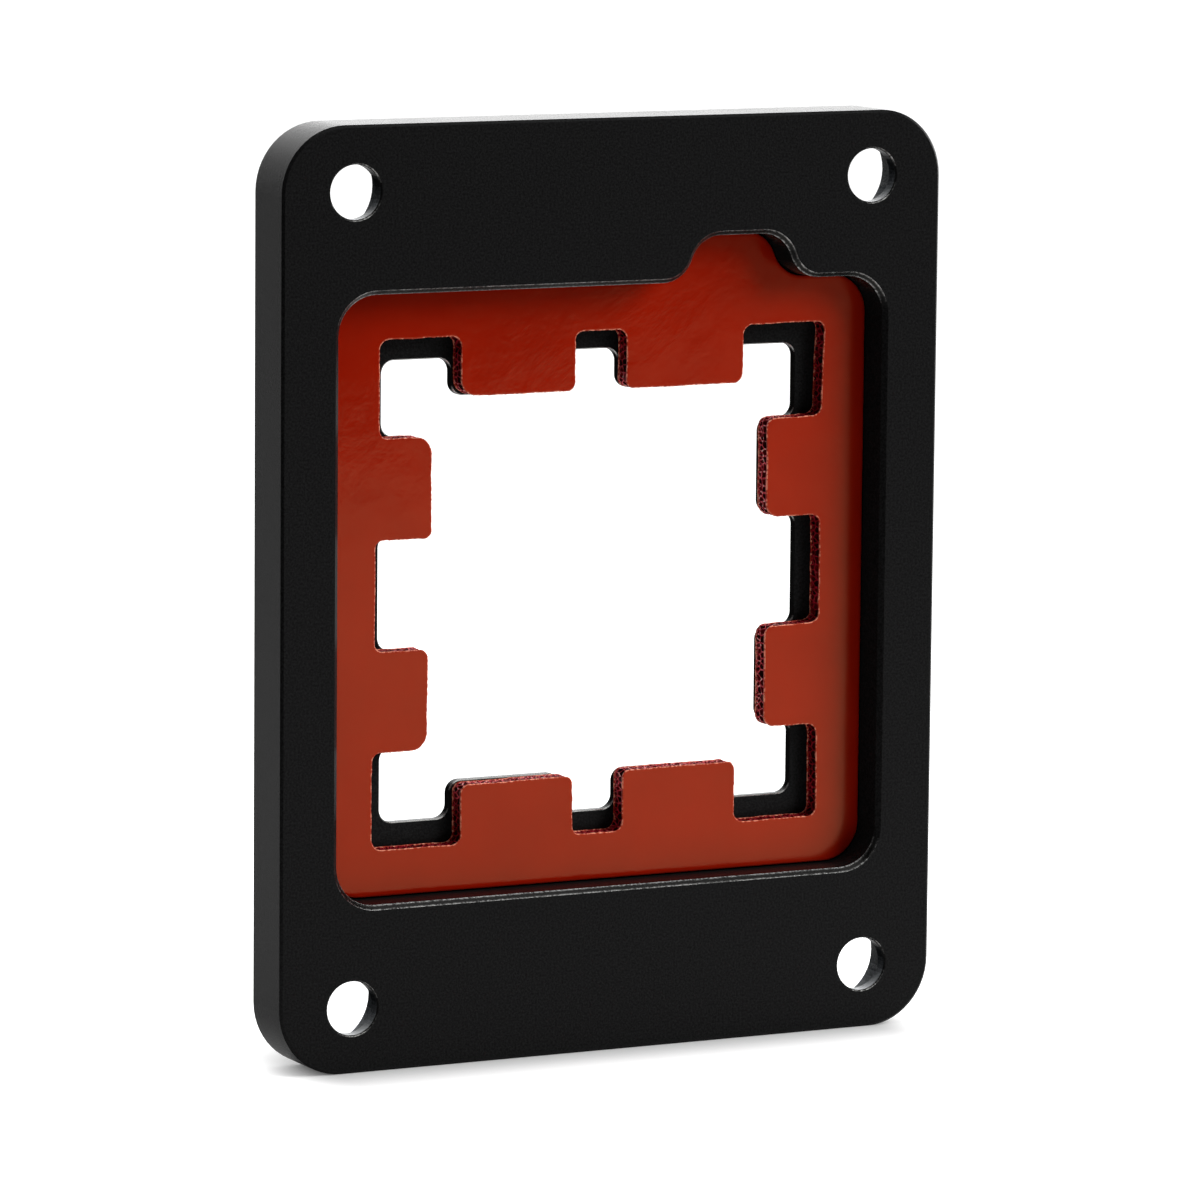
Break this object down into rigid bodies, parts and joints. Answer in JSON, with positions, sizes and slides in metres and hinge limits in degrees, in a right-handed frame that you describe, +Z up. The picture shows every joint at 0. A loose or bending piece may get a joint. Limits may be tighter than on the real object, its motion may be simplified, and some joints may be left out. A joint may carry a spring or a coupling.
{
  "type": "cpu socket retention frame",
  "caption": "Machined frame that presses a processor into its socket: a pocketed plate with a castellated window, corner screw holes and a sponge gasket.",
  "frame": {"origin": "middle of the footprint of the short edge that the plate stands on", "axes": "+Z up along the plate's long side, -Y the pocketed side, +Y the plain side, +X to the right when the pocketed side is seen"},
  "size_m": [0.054, 0.005, 0.0695],
  "materials": {
    "black_anodised": "bead-blasted and black anodised, matt",
    "red_sponge": "closed-cell silicone sponge with a smooth skin, satin"
  },
  "bodies": {
    "root": {"frame_plate": "black_anodised", "sponge_gasket": "red_sponge"}
  },
  "joints": []
}
